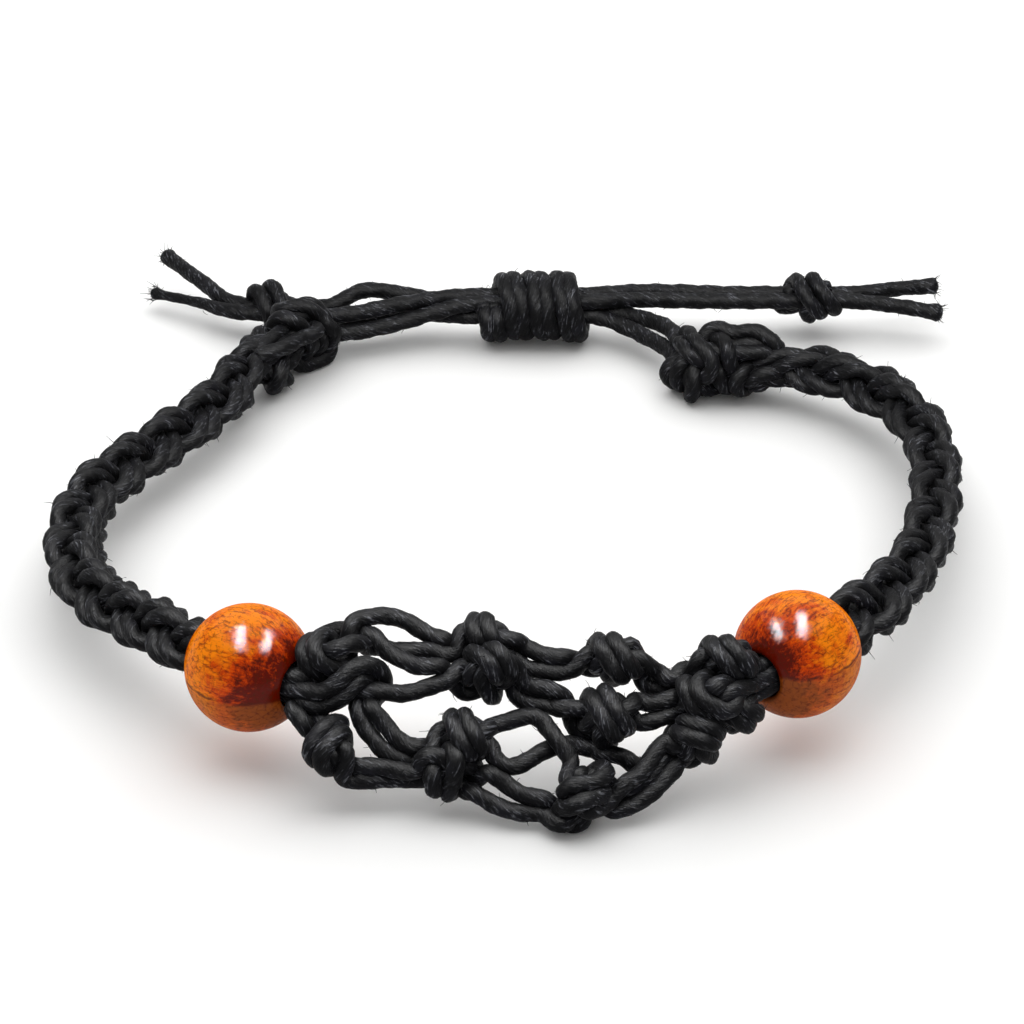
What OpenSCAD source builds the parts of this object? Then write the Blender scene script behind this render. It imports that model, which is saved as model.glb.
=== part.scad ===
// Knotted cord bracelet: two wooden beads either side of an open net, a round braid of four strands
// on each side, and drawcords that close the loop through a sliding knot at the back.
// Millimetres, +Z up, +X to the wearer's right, the net towards -Y, standing on z = 0.

/* [Cord] */
// Diameter of one waxed cord in the net
cord_d = 1.1; // [0.9:0.05:1.15]
// Diameter of one drawcord
drawcord_d = 1.14; // [1:0.02:1.16]
// Thickness of one strand in the braids, a pair of cords side by side
strand_d = 0.95; // [0.8:0.05:1]
// Width of one strand in the braids where it lies on the outside
strand_width = 1.6; // [1.2:0.1:1.8]

/* [Beads] */
// Diameter of a wooden bead
bead_d = 8.7; // [8.4:0.1:8.7]
// Diameter of the hole through a bead
bead_hole_d = 3.2; // [3:0.1:3.4]

/* [Braid] */
// Length of one turn of a strand in the braid
braid_pitch = 9.2; // [8.6:0.1:10]
// How far a strand swings out from the middle of the braid
braid_swing = 1.8; // [1.75:0.05:1.9]
// How far a strand stays from the middle where it dives under
braid_dive = 0.6; // [0.58:0.01:0.62]
// Turn of the braid about its own line
braid_turn = 45; // [30:5:60]

/* [Knots] */
// Length of the overhand knot that ends a braid
end_knot_length = 7.6; // [7:0.1:7.8]
// Thickness of the overhand knot that ends a braid
end_knot_d = 6; // [5:0.1:6]
// Length of the sliding knot
slider_length = 9.4; // [8.4:0.1:9.6]
// Depth of the sliding knot from front to back
slider_depth = 5.6; // [5:0.1:6]
// Height of the sliding knot
slider_height = 6.2; // [5.4:0.1:6.2]
// Length of the knot near the free ends of two drawcords
tail_knot_length = 5.5; // [5:0.1:5.6]
// Thickness of the knot near the free ends
tail_knot_d = 3.8; // [3.6:0.1:4]

/* [Hidden] */

cord_colour = "#242428";
bead_colour = "#cf6212";
cord_sides = 8;
strand_squeezed = strand_width * 0.52;
knot_sides = 12;
sleeve_sides = 12;
up = [0, 0, 1];
braid_facing = [0, -0.848, 0.53];

// The braids follow these lines, from the knots beside the net, through a bead, to the end knot
left_line = [[-13.9, -27.5, 6.8], [-17.7, -25.1, 6.7], [-21.7, -22.5, 6.6], [-24.3, -19.5, 6.1],
    [-26.6, -17.0, 5.6], [-29.1, -13.9, 5.1], [-30.9, -10.1, 4.7], [-31.7, -5.4, 4.3],
    [-31.6, -0.9, 4.0], [-30.7, 2.8, 3.8], [-28.9, 6.4, 3.6], [-26.6, 10.0, 3.5],
    [-24.3, 13.7, 3.4], [-22.4, 17.4, 3.3], [-21.6, 20.5, 3.1], [-21.2, 22.5, 3.0]];
right_line = [[16.5, -26.4, 6.8], [19.3, -23.5, 6.7], [22.4, -20.3, 6.6], [25.0, -17.2, 6.2],
    [27.2, -13.4, 5.8], [29.3, -8.6, 5.3], [30.9, -2.4, 4.9], [31.7, 3.6, 4.6], [31.6, 9.4, 4.3],
    [30.3, 14.2, 4.1], [27.9, 18.0, 3.8], [24.6, 20.9, 3.5], [21.7, 22.3, 3.0]];

// The net lies on a sloping panel: x along it, then up the slope, then out from it
panel_foot = [0, -30, 4.9];
panel_rise = [0, 0.761, 0.649];
panel_out = [0, -0.649, 0.761];

// Knots beside the beads and in the net: name, place on the panel, length along x, height, depth, wraps
gather_knots = [
    ["gather_knot_left_top", [-12.36, 5.7, 0.96], 3.3, 3.6, 3.3, 3],
    ["gather_knot_left_middle", [-11.6, 1.9, 0], 3.8, 2.7, 2.8, 2],
    ["gather_knot_left_low", [-12.2, -0.9, 0], 3.0, 3.0, 3.0, 2],
    ["gather_knot_right_top", [13.9, 5.3, 0.4], 3.9, 3.2, 3.4, 3],
    ["gather_knot_right_middle", [13.0, 2.2, 0.2], 2.7, 2.8, 3.0, 2],
    ["gather_knot_right_side", [16.0, 2.0, 0.2], 3.0, 3.2, 3.0, 2],
    ["gather_knot_right_low", [13.5, -0.9, 0], 3.2, 3.2, 3.2, 2]];
net_knots = [
    ["net_knot_1", [-2.4, 6.4, 0], 2.6, 3.2, 2.8, 2],
    ["net_knot_2", [-1.7, 3.3, 0.3], 2.8, 2.8, 2.8, 2],
    ["net_knot_3", [-3.6, 0.2, 0], 2.8, 2.7, 2.8, 2],
    ["net_knot_4", [-3.9, -2.7, 0], 2.8, 2.9, 2.8, 2],
    ["net_knot_5", [6.2, 5.4, 0], 3.3, 3.2, 2.8, 3],
    ["net_knot_6", [5.6, 1.0, 0], 2.7, 3.8, 2.8, 2],
    ["net_knot_7", [4.4, -4.4, -0.4], 2.8, 4.2, 3.0, 2]];

// Bare stretches of cord between the knots: name, then points on the panel
net_cords = [
    ["net_cord_01", [[-11.1, 7.55, 0.6], [-10.1, 8.2, 0.5], [-8.6, 8.4, 0.4], [-7.3, 7.9, 0.3],
        [-6.2, 7.2, 0.2], [-5.0, 6.9, 0], [-3.9, 6.9, 0]]],
    ["net_cord_02", [[-10.64, 6.04, 1.0], [-9.6, 6.5, 1.0], [-8.4, 6.1, 0.9], [-7.5, 5.3, 0.8],
        [-6.6, 4.7, 0.6], [-5.4, 4.4, 0.4], [-4.4, 4.3, 0.3], [-3.3, 4.2, 0.3]]],
    ["net_cord_03", [[-10.7, 4.5, 0], [-9.6, 4.3, -0.6], [-8.5, 5.0, -0.7], [-7.5, 5.8, -0.6],
        [-6.3, 6.0, -0.3], [-5.1, 5.7, 0], [-3.9, 5.6, 0]]],
    ["net_cord_04", [[-9.5, 3.0, 0.4], [-8.4, 2.7, 0.4], [-7.2, 2.5, 0.3], [-5.9, 2.7, 0.2],
        [-4.6, 2.8, 0.2], [-3.3, 2.7, 0.3]]],
    ["net_cord_05", [[-9.3, 1.9, 0.4], [-8.7, 1.3, 0.5], [-7.9, 0.3, 0.5], [-6.9, -0.1, 0.4],
        [-5.1, -0.1, 0.2]]],
    ["net_cord_06", [[-10.2, 0.5, -0.2], [-9.6, -0.3, -0.2], [-8.7, -1.2, -0.2], [-7.5, -1.8, -0.1],
        [-5.5, -2.0, 0]]],
    ["net_cord_07", [[-11.0, -2.3, 0], [-10.0, -2.9, 0], [-8.6, -3.3, 0], [-7.1, -3.3, 0],
        [-5.5, -3.3, 0]]],
    ["net_cord_08", [[-2.1, 0.3, 0], [-0.8, 0.3, 0.1], [0.9, 0.4, 0.2], [2.6, 0.5, 0.2],
        [4.1, 0.6, 0]]],
    ["net_cord_09", [[-0.2, 2.7, 0.3], [1.1, 2.4, 0.2], [2.6, 2.1, 0.1], [4.1, 1.9, 0]]],
    ["net_cord_10", [[-0.8, 6.7, 0], [0.3, 6.1, 0.2], [1.8, 5.9, 0.2], [3.2, 6.0, 0.1],
        [4.4, 6.1, 0]]],
    ["net_cord_11", [[-0.3, 4.1, 0.2], [0.9, 4.3, 0], [2.2, 4.4, 0], [3.4, 4.6, 0], [4.4, 4.8, 0]]],
    ["net_cord_12", [[7.9, 4.9, 0], [9.0, 4.7, 0], [10.4, 4.2, 0.1], [12.0, 3.9, 0.2]]],
    ["net_cord_13", [[7.1, 1.9, 0], [8.3, 2.4, 0.1], [9.8, 2.6, 0.2], [11.5, 2.5, 0.2]]],
    ["net_cord_14", [[7.1, 0.6, 0], [8.4, 0.9, 0.1], [9.9, 1.2, 0.2], [11.5, 1.3, 0.2]]],
    ["net_cord_15", [[11.6, -0.3, 0.3], [10.6, -0.8, 0.5], [9.6, -1.7, 0.5], [8.6, -2.6, 0.4],
        [7.4, -3.3, 0], [6.0, -3.6, -0.3]]],
    ["net_cord_16", [[11.9, -1.9, 0], [10.8, -2.6, 0], [9.7, -3.6, 0], [8.4, -4.4, -0.1],
        [7.1, -4.8, -0.3], [6.0, -4.9, -0.4]]],
    ["net_cord_17", [[6.4, -0.6, -0.2], [7.1, -1.5, -0.3], [8.0, -2.1, -0.5]]],
    ["net_cord_18", [[5.0, -0.9, 0], [4.7, -1.9, -0.2]]],
    ["net_cord_19", [[-2.1, -0.9, 0.1], [-1.2, -1.6, 0.2], [-0.3, -2.4, 0.2], [0.8, -3.4, 0],
        [2.8, -3.9, -0.3]]],
    ["net_cord_20", [[-3.0, -4.5, 0], [-2.0, -4.9, 0], [-0.6, -5.3, -0.1], [1.0, -5.6, -0.3],
        [2.9, -5.2, -0.4]]]];

// The drawcords' routes: out of an end knot, side by side through the sliding knot, the left pair
// above the right pair, then through a tail knot and on to the cut end
drawcord_left_1 = [[-15.2, 28.8, 2.4], [-12.4, 29.3, 2.4], [-9.2, 30.2, 2.7], [-6.3, 31.1, 3.2],
    [-3.6, 31.6, 3.7], [-0.6, 31.8, 3.7], [2.0, 31.8, 3.7], [4.6, 31.8, 3.7], [7.2, 31.9, 3.8],
    [10.4, 32.7, 3.5], [14.0, 33.1, 3.2], [18.0, 33.0, 3.2], [21.0, 33.0, 3.2], [27.8, 33.0, 3.2],
    [31.5, 32.6, 3.0], [35.4, 31.8, 2.7]];
drawcord_left_2 = [[-15.6, 29.5, 3.6], [-12.6, 30.1, 3.7], [-9.4, 31.1, 3.9], [-6.4, 32.1, 3.9],
    [-3.6, 32.8, 3.8], [-0.6, 33.0, 3.7], [2.0, 33.0, 3.7], [4.6, 33.0, 3.7], [7.2, 33.1, 3.8],
    [10.4, 33.9, 3.6], [14.0, 34.4, 3.3], [18.0, 34.3, 3.2], [21.0, 34.3, 3.2], [27.8, 34.3, 3.2],
    [31.5, 34.7, 3.4], [35.3, 35.0, 3.6]];
drawcord_right_1 = [[13.2, 24.5, 2.4], [12.6, 26.3, 2.4], [11.4, 28.2, 2.2], [9.6, 30.1, 2.2],
    [7.4, 31.6, 2.4], [4.8, 31.8, 2.5], [2.0, 31.8, 2.5], [-0.8, 31.8, 2.5], [-3.6, 31.9, 2.4],
    [-6.4, 32.6, 2.2], [-9.4, 32.5, 2.2], [-12.6, 31.5, 2.4], [-15.9, 31.8, 2.5], [-22.9, 32.9, 2.3],
    [-26.0, 35.0, 2.0], [-30.2, 37.6, 1.5]];
drawcord_right_2 = [[13.3, 25.2, 3.6], [13.2, 27.0, 3.4], [12.4, 29.2, 3.0], [10.8, 31.1, 2.6],
    [8.0, 32.7, 2.5], [4.8, 33.0, 2.5], [2.0, 33.0, 2.5], [-0.8, 33.0, 2.5], [-3.6, 33.2, 2.5],
    [-6.4, 33.9, 2.8], [-9.4, 34.2, 3.3], [-12.4, 33.9, 3.7], [-15.6, 33.1, 2.6], [-22.7, 34.2, 2.3],
    [-25.8, 37.2, 2.7], [-29.3, 41.4, 3.1]];

// One length of a vector, its direction, and a smooth curve through points
function unit(v) = v / norm(v);
function blend_points(a, b, c, d, t) = 0.5 * (2 * b + (c - a) * t
    + (2 * a - 5 * b + 4 * c - d) * t * t + (3 * b - a - 3 * c + d) * t * t * t);
function smooth(p, steps = 6) = let (last = len(p) - 1)
    [for (i = [0:last - 1], k = [0:steps - 1])
        blend_points(p[max(i - 1, 0)], p[i], p[i + 1], p[min(i + 2, last)], k / steps), p[last]];

// A measured line: its points' lengths from the start beside each of x, y and z
function lengths(p) = [for (i = 0, s = 0; i < len(p);
    s = s + (i + 1 < len(p) ? norm(p[i + 1] - p[i]) : 0), i = i + 1) s];
function measured(p) = let (s = lengths(p)) [for (a = [0:2]) [for (i = [0:len(p) - 1]) [s[i], p[i][a]]]];
function whole(m) = m[0][len(m[0]) - 1][0];
function place(m, s) = [for (a = [0:2]) lookup(s, m[a])];
function evenly(p, step) = let (m = measured(smooth(p)), n = max(3, round(whole(m) / step)))
    [for (i = [0:n]) place(m, whole(m) * i / n)];

// A ring of points round a centre, on two axes
function ring(c, u, v, ru, rv, sides) =
    [for (k = [0:sides - 1]) c + ru * cos(360 * k / sides) * u + rv * sin(360 * k / sides) * v];
function heading(p, i) = unit(p[min(i + 1, len(p) - 1)] - p[max(i - 1, 0)]);

// A closed skin over rings, with capped ends, or joined end to end for a sleeve
module skin(rings, joined = false) {
    n = len(rings[0]);
    m = len(rings);
    function at(i, k) = (i % m) * n + k % n;
    polyhedron(
        points = [for (r = rings, p = r) p],
        faces = [for (i = [0:joined ? m - 1 : m - 2], k = [0:n - 1])
                [at(i, k), at(i + 1, k), at(i + 1, k + 1), at(i, k + 1)],
            if (!joined) [for (k = [0:n - 1]) at(0, k)],
            if (!joined) [for (k = [n - 1:-1:0]) at(m - 1, k)]],
        convexity = 8);
}

// A round cord along points
module tube(points, d, level = up) {
    skin([for (i = [0:len(points) - 1])
        let (t = heading(points, i), side = unit(cross(level, t)))
        ring(points[i], side, cross(t, side), d / 2, d / 2, cord_sides)]);
}

// A strand at a length along its braid: its middle, the way its flat side faces, and its width
function strand_row(line, s, phase, way, resting) =
    let (wide = resting ? strand_d * 1.25 : braid_swing, deep = resting ? strand_d * 0.86 : braid_dive,
        t = unit(place(line, min(s + 0.5, whole(line))) - place(line, max(s - 0.5, 0))),
        flat = unit(cross(braid_facing, t)),
        side = cos(braid_turn) * flat + sin(braid_turn) * cross(t, flat), lift = cross(t, side),
        x = cos(phase), y = way * sin(phase),
        out = way > 0 ? abs(x) : abs(y), ru = way > 0 ? wide : deep, rv = way > 0 ? deep : wide)
    [place(line, s) + ru * x * side + rv * y * lift, rv * x * side + ru * y * lift,
        resting ? strand_squeezed : strand_squeezed + (strand_width - strand_squeezed) * out];

// Rings of one braid strand: two of the four wind one way and two the other, and each goes over and
// under. It runs straight and round through the bead, then swings out, flat outside, squeezed inside.
function strand_rings(points, quarter, way, bare) =
    let (line = measured(smooth(points, 8)), eighths = 2 * round(4 * (whole(line) - bare) / braid_pitch),
        step = (whole(line) - bare) / eighths,
        rows = [for (i = [-2:eighths]) strand_row(line, i < 0 ? bare * (i + 2) / 2 : bare + i * step,
            45 * (1 + max(i, 0)) + quarter, way, i <= 0 || i == eighths)],
        centres = [for (r = rows) r[0]])
    [for (i = [0:len(rows) - 1])
        let (t = heading(centres, i), side = unit(cross(rows[i][1], t)))
        ring(centres[i], side, cross(t, side), rows[i][2] / 2, strand_d / 2, cord_sides)];

module braid_strand(line, number) {
    color(cord_colour)
    skin(strand_rings(line, number > 2 ? 180 * (number - 3) : 180 * (number - 1),
        number > 2 ? -1 : 1, norm(line[1] - line[0]) + bead_d / 2));
}

// A bead with a straight hole along the line that passes through it
module bead(line) {
    t = unit(line[2] - line[0]);
    color(bead_colour)
    translate(line[1])
    rotate([0, acos(t[2]), atan2(t[1], t[0])])
    difference() {
        sphere(d = bead_d, $fn = 64);
        cylinder(d = bead_hole_d, h = bead_d + 2, center = true, $fn = 48);
    }
}

// How far a wound knot bulges at a fraction of its length: round at the ends, ridged by its wraps
function bulge(f, turn, wraps, slant) =
    max(0.34, pow(1 - pow(abs(2 * f - 1), 2.6), 0.45))
    * (0.93 - 0.07 * cos(360 * wraps * f + slant * turn));

// Rings of a knot wound round a straight axis
function wound_rings(c, axis, level, length, wide, deep, wraps, slant, sides, from, to) =
    let (side = unit(cross(level, axis)), lift = cross(axis, side), n = 4 * wraps)
    [for (i = [0:n]) let (f = from + (to - from) * i / n)
        [for (k = [0:sides - 1]) let (a = 360 * k / sides)
            c + axis * length * (i / n - 0.5)
                + bulge(f, a, wraps, slant) * (wide / 2 * cos(a) * side + deep / 2 * sin(a) * lift)]];

module wound_knot(c, axis, level, length, wide, deep, wraps) {
    color(cord_colour)
    skin(wound_rings(c, axis, level, length, wide, deep, wraps, 1, knot_sides, 0, 1));
}

// A wound knot with a way through it for the cords that it grips
module sleeve_knot(c, axis, level, length, wide, deep, wraps, slant, hole_wide, hole_deep) {
    side = unit(cross(level, axis));
    lift = cross(axis, side);
    color(cord_colour)
    skin(concat(
        wound_rings(c, axis, level, length, wide, deep, wraps, slant, sleeve_sides, 0.12, 0.88),
        [for (e = [0.5, -0.5])
            ring(c + axis * length * e, side, lift, hole_wide / 2, hole_deep / 2, sleeve_sides)]),
        joined = true);
}

function on_panel(p) = panel_foot + [p[0], 0, 0] + p[1] * panel_rise + p[2] * panel_out;

module panel_knot(row) {
    wound_knot(on_panel(row[1]), [1, 0, 0], panel_out, row[2], row[3], row[4], row[5]);
}

module net_cord(row) {
    color(cord_colour)
    tube(evenly([for (p = row[1]) on_panel(p)], 1.9), cord_d, panel_out);
}

module drawcord(route) {
    color(cord_colour)
    tube(evenly(route, 2.2), drawcord_d);
}

for (number = [1:4]) {
    braid_strand(left_line, number);
    braid_strand(right_line, number);
}
bead(left_line);  // bead_left
bead(right_line);  // bead_right
wound_knot([-18.3, 26.0, 3], unit([0.66, 0.75, 0]), up, end_knot_length, end_knot_d, end_knot_d, 3);  // end_knot_left
wound_knot([17.4, 23.3, 3], unit([-0.97, 0.25, 0]), up, end_knot_length, end_knot_d, end_knot_d, 3);  // end_knot_right
sleeve_knot([2, 32.4, 3.1], [1, 0, 0], up, slider_length, slider_depth, slider_height, 4, 0, 3.3, 3.3);  // sliding_knot
sleeve_knot([-19.3, 33.0, 2.4], unit([-7.1, 1.1, -0.2]), up, tail_knot_length, tail_knot_d,  // tail_knot_left
        tail_knot_d, 3, 1, 2.8, 1.6);
sleeve_knot([24.4, 33.65, 3.2], [1, 0, 0], up, tail_knot_length, tail_knot_d,  // tail_knot_right
        tail_knot_d, 3, 1, 2.8, 1.6);
drawcord(drawcord_left_1);
drawcord(drawcord_left_2);
drawcord(drawcord_right_1);
drawcord(drawcord_right_2);
for (row = concat(gather_knots, net_knots))
    panel_knot(row);
for (row = net_cords)
    net_cord(row);
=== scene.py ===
"""Cord bracelet: waxed cotton cords, two wooden beads, an open net, two round braids and drawcords.

Lengths inside this file are millimetres in the model's own frame; `MM` turns them into metres where a
mesh, a light or the camera is made.
"""
import logging
import math
from dataclasses import dataclass, field
from enum import Enum
from functools import partial
from typing import Sequence

import bmesh
import bpy
import numpy as np
from bpy.types import Camera, Light, Material, Mesh, Node, NodeSocket, NodeTree, Object
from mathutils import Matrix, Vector


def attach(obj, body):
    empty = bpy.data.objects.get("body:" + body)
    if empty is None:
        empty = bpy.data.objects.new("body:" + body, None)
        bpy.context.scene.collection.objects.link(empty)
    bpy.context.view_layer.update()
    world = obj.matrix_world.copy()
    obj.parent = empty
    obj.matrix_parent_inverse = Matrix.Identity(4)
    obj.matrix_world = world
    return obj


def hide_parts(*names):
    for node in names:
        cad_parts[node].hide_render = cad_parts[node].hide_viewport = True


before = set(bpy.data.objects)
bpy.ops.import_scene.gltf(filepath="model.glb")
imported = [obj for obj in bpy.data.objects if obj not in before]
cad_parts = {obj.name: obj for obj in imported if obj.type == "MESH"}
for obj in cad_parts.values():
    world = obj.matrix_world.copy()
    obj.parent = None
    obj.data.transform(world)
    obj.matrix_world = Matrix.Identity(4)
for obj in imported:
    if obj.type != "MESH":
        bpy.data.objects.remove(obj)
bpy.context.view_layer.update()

BODY = "root"
MM = 0.001
UP = np.array([0.0, 0.0, 1.0])
FACING = np.array([0.0, -0.848, 0.53])  # the way the net's front faces
BEAD_D = 8.7
TINY = 1e-9  # keeps a length that is divided by off zero
Points = np.ndarray
Triple = tuple[float, float, float]
log = logging.getLogger("bracelet")


class Side(Enum):
    """Which half of the bracelet a piece is on, seen from the net."""

    LEFT = "left"
    RIGHT = "right"


class Slot(Enum):
    """The record's material slots."""

    CORD = "waxed_cord"
    WOOD = "stained_wood"


def srgb(code: str) -> tuple[float, float, float, float]:
    """Turns an sRGB hex colour into the linear colour that a shader takes.

    Args:
        code: six hex digits after a hash sign.

    Returns:
        Linear red, green, blue and an alpha of 1.
    """
    def linear(c: float) -> float:
        """One channel from sRGB to linear."""
        return c / 12.92 if c <= 0.04045 else ((c + 0.055) / 1.055) ** 2.4
    return tuple(linear(int(code[i:i + 2], 16) / 255) for i in (1, 3, 5)) + (1.0,)


def unit(v: Points) -> Points:
    """The direction of a vector."""
    return np.asarray(v, float) / np.linalg.norm(v)


# ---- Lines through points ----

def smooth(points: Sequence[Sequence[float]], steps: int = 8) -> Points:
    """Draws a smooth curve through points, the same one as the solids follow.

    Args:
        points: the points, in order.
        steps: how many places the curve has for each span.

    Returns:
        The curve's places.
    """
    p = np.asarray(points, float)
    last = len(p) - 1
    out = []
    for i in range(last):
        a, b, c, d = p[max(i - 1, 0)], p[i], p[i + 1], p[min(i + 2, last)]
        for k in range(steps):
            t = k / steps
            out.append(0.5 * (2 * b + (c - a) * t + (2 * a - 5 * b + 4 * c - d) * t * t
                              + (3 * b - a - 3 * c + d) * t ** 3))
    out.append(p[last])
    return np.array(out)


def lengths(p: Points) -> Points:
    """The length along a line at each of its places."""
    return np.r_[0, np.cumsum(np.linalg.norm(np.diff(p, axis=0), axis=1))]


def place(p: Points, s: Points | float) -> Points:
    """The places at lengths s along a line."""
    at = lengths(p)
    return np.stack([np.interp(s, at, p[:, k]) for k in range(3)], -1)


def evenly(p: Points, step: float) -> Points:
    """The line again, with places an even step apart."""
    total = lengths(p)[-1]
    return place(p, np.linspace(0, total, max(3, round(total / step) + 1)))


def eased(p: Points, gap: float = 0.7) -> Points:
    """The line again, as one smooth curve through places a gap apart."""
    return smooth(evenly(p, gap), 4)


def headings(p: Points) -> Points:
    """The direction of a line at each of its places."""
    t = np.gradient(p, axis=0)
    return t / np.maximum(np.linalg.norm(t, axis=1), TINY)[:, None]


def sides_along(p: Points) -> Points:
    """Finds a direction square to a line, carried along it without twisting.

    Args:
        p: the line.

    Returns:
        The direction at each of its places.
    """
    t = headings(p)
    n = np.zeros_like(p)
    v = UP if abs(np.dot(UP, t[0])) < 0.9 else np.array([1.0, 0.0, 0.0])
    for i, heading in enumerate(t):
        v = v - heading * np.dot(v, heading)
        v = v / np.linalg.norm(v)
        n[i] = v
    return n


# ---- Cords pressed against each other ----

LOOK_EVERY = 8  # rounds between two searches for cords that come close
WATCHED = 1.5  # how close such cords are, in diameters
OWN_REACH = 1.25  # how far along itself a cord isn't pushed away, in diameters
EAGER = 1.6  # over 1, so that cords part in fewer rounds
GRIP = 0.5  # how strongly a cord keeps its length
IN_BEAD = 0.42  # how far a cord's middle stays off a bead, in diameters


@dataclass
class Lay:
    """A cord on its way: the places it runs through, and how firmly each is held (1 can't move)."""

    line: Points
    hold: Points


def settle(lays: list[Lay], d: float, rounds: int, shorten: float = 1.0, bend: float = 0.15,
           floor: float | None = None, pull: float = 0.0,
           balls: Sequence[tuple[Points, float]] = ()) -> list[Points]:
    """Lets cords slide against each other until none lies inside another.

    Args:
        lays: the cords.
        d: the distance that their middles keep, a cord's diameter.
        rounds: how many small moves are made.
        shorten: what each span's length is multiplied by in each round, to draw a knot tight.
        bend: how strongly a cord straightens.
        floor: the lowest that a cord's middle may lie.
        pull: how strongly held places go back to where they started.
        balls: the middle and radius of each bead that the cords lie against.

    Returns:
        The cords' new lines.
    """
    p = np.concatenate([lay.line for lay in lays]).astype(float)
    home = p.copy()
    hold = np.concatenate([lay.hold for lay in lays])
    owner = np.concatenate([np.full(len(lay.line), k) for k, lay in enumerate(lays)])
    index = np.arange(len(p))
    span = index[:-1][owner[:-1] == owner[1:]]
    inner = index[1:-1][(owner[:-2] == owner[1:-1]) & (owner[2:] == owner[1:-1])]
    rest = np.linalg.norm(p[span + 1] - p[span], axis=1)
    free = (1 - hold)[:, None]
    a = b = index[:0]
    for turn in range(rounds):
        rest = rest * shorten
        if turn % LOOK_EVERY == 0:
            near = int(math.ceil(OWN_REACH * d / max(rest.mean(), TINY)))
            square = (p ** 2).sum(1)
            a, b = np.nonzero(square[:, None] + square[None] - 2 * p @ p.T < (WATCHED * d) ** 2)
            apart = (a < b) & ((owner[a] != owner[b]) | (b - a > near))
            a, b = a[apart], b[apart]
        p[inner] += bend * (0.5 * (p[inner - 1] + p[inner + 1]) - p[inner]) * free[inner]
        v = p[span + 1] - p[span]
        size = np.linalg.norm(v, axis=1)
        fix = (0.5 * GRIP * (size - rest) / np.maximum(size, TINY))[:, None] * v
        np.add.at(p, span, fix * free[span])
        np.add.at(p, span + 1, -fix * free[span + 1])
        for _ in range(2):
            v = p[b] - p[a]
            size = np.linalg.norm(v, axis=1)
            over = np.maximum(d - size, 0)
            push = (0.5 * over / np.maximum(size, TINY))[:, None] * v
            move = np.stack([np.bincount(b, push[:, k], len(p)) - np.bincount(a, push[:, k], len(p))
                             for k in range(3)], 1)
            count = np.bincount(a, over > 0, len(p)) + np.bincount(b, over > 0, len(p))
            p += move / np.maximum(count, 1)[:, None] * EAGER * free
        if pull:
            p += pull * (home - p) * hold[:, None]
        if floor is not None:
            p[:, 2] = np.maximum(p[:, 2], floor)
        for middle, r in balls:
            v = p - middle
            size = np.maximum(np.linalg.norm(v, axis=1), TINY)
            p += np.maximum(r + IN_BEAD * d - size, 0)[:, None] / size[:, None] * v * free
        p[hold >= 1] = home[hold >= 1]
    return np.split(p, np.cumsum([len(lay.line) for lay in lays])[:-1])


def loose_overhand(scale: float) -> Points:
    """Draws an overhand knot tied loosely along X, from the trefoil's three polynomials.

    Args:
        scale: how large the loose knot is.

    Returns:
        The line, with straight tails.
    """
    t = np.linspace(-2.1, 2.1, 140)
    knot = np.stack([(t ** 5 - 10 * t) / 7, t ** 4 - 4 * t ** 2 + 1.6, t ** 3 - 3 * t], 1) * scale
    reach = abs(knot[0, 0]) + 5 * scale
    first, last = np.array([-reach, 0, 0]), np.array([reach, 0, 0])
    line = np.concatenate([np.linspace(first, knot[0], 14)[:-1], knot, np.linspace(knot[-1], last, 14)[1:]])
    return place(line, np.linspace(0, lengths(line)[-1], 130))


def near_middle(p: Points, reach: float) -> Points:
    """The stretch of a line between its first and last place within reach of x = 0."""
    inside = np.nonzero(np.abs(p[:, 0]) < reach)[0]
    return p[inside[0]:inside[-1] + 1]


def tied(cords: int, d: float, loose: float, rounds: int) -> list[Points]:
    """Ties an overhand knot with a flat band of cords and draws it tight.

    Args:
        cords: how many cords lie side by side.
        d: the distance that their middles keep.
        loose: how many diameters large the knot is before it is drawn tight.
        rounds: how long it is drawn.

    Returns:
        One line for each cord, the knot's middle at the origin and its axis along X.
    """
    line = loose_overhand(loose * d)
    n = sides_along(line)
    lays = []
    for number in range(cords):
        lay = line + (number - (cords - 1) / 2) * d * n
        hold = np.zeros(len(lay))
        hold[:2] = hold[-2:] = 1
        lays.append(Lay(lay, hold))
    lines = settle(lays, d, rounds, shorten=0.9982, bend=0.25)
    wound = np.concatenate([near_middle(p, 3.0 * d) for p in lines])
    middle = (wound.min(0) + wound.max(0)) / 2
    return [evenly(eased(p, 0.7 * d), 0.35) - middle for p in lines]


def turned(p: Points, axis: Points, level: Points, roll: float, middle: Points,
           scale: Sequence[float]) -> Points:
    """Puts a knot that was tied along X in its place.

    Args:
        p: the knot's line.
        axis: where its X goes.
        level: roughly where its Z goes.
        roll: a turn about its own axis, in degrees.
        middle: where its middle goes.
        scale: stretch along its own X, Y and Z.

    Returns:
        The line in its place.
    """
    x = unit(axis)
    z = unit(level - x * np.dot(level, x))
    y = np.cross(z, x)
    c, s = math.cos(math.radians(roll)), math.sin(math.radians(roll))
    q = np.stack([p[:, 0], c * p[:, 1] - s * p[:, 2], s * p[:, 1] + c * p[:, 2]], 1) * np.asarray(scale)
    return middle + q[:, :1] * x + q[:, 1:2] * y + q[:, 2:] * z


# ---- Finishes ----

def wire(tree: NodeTree, node: Node, inputs: dict) -> None:
    """Sets or links a node's inputs.

    Args:
        tree: the node tree.
        node: the node.
        inputs: for each input, by name or number, a value, an output, or a node to take the first of.
    """
    for name, value in inputs.items():
        if isinstance(value, Node):
            value = next(output for output in value.outputs if output.enabled)
        if isinstance(value, NodeSocket):
            tree.links.new(value, node.inputs[name])
        else:
            node.inputs[name].default_value = value


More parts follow.
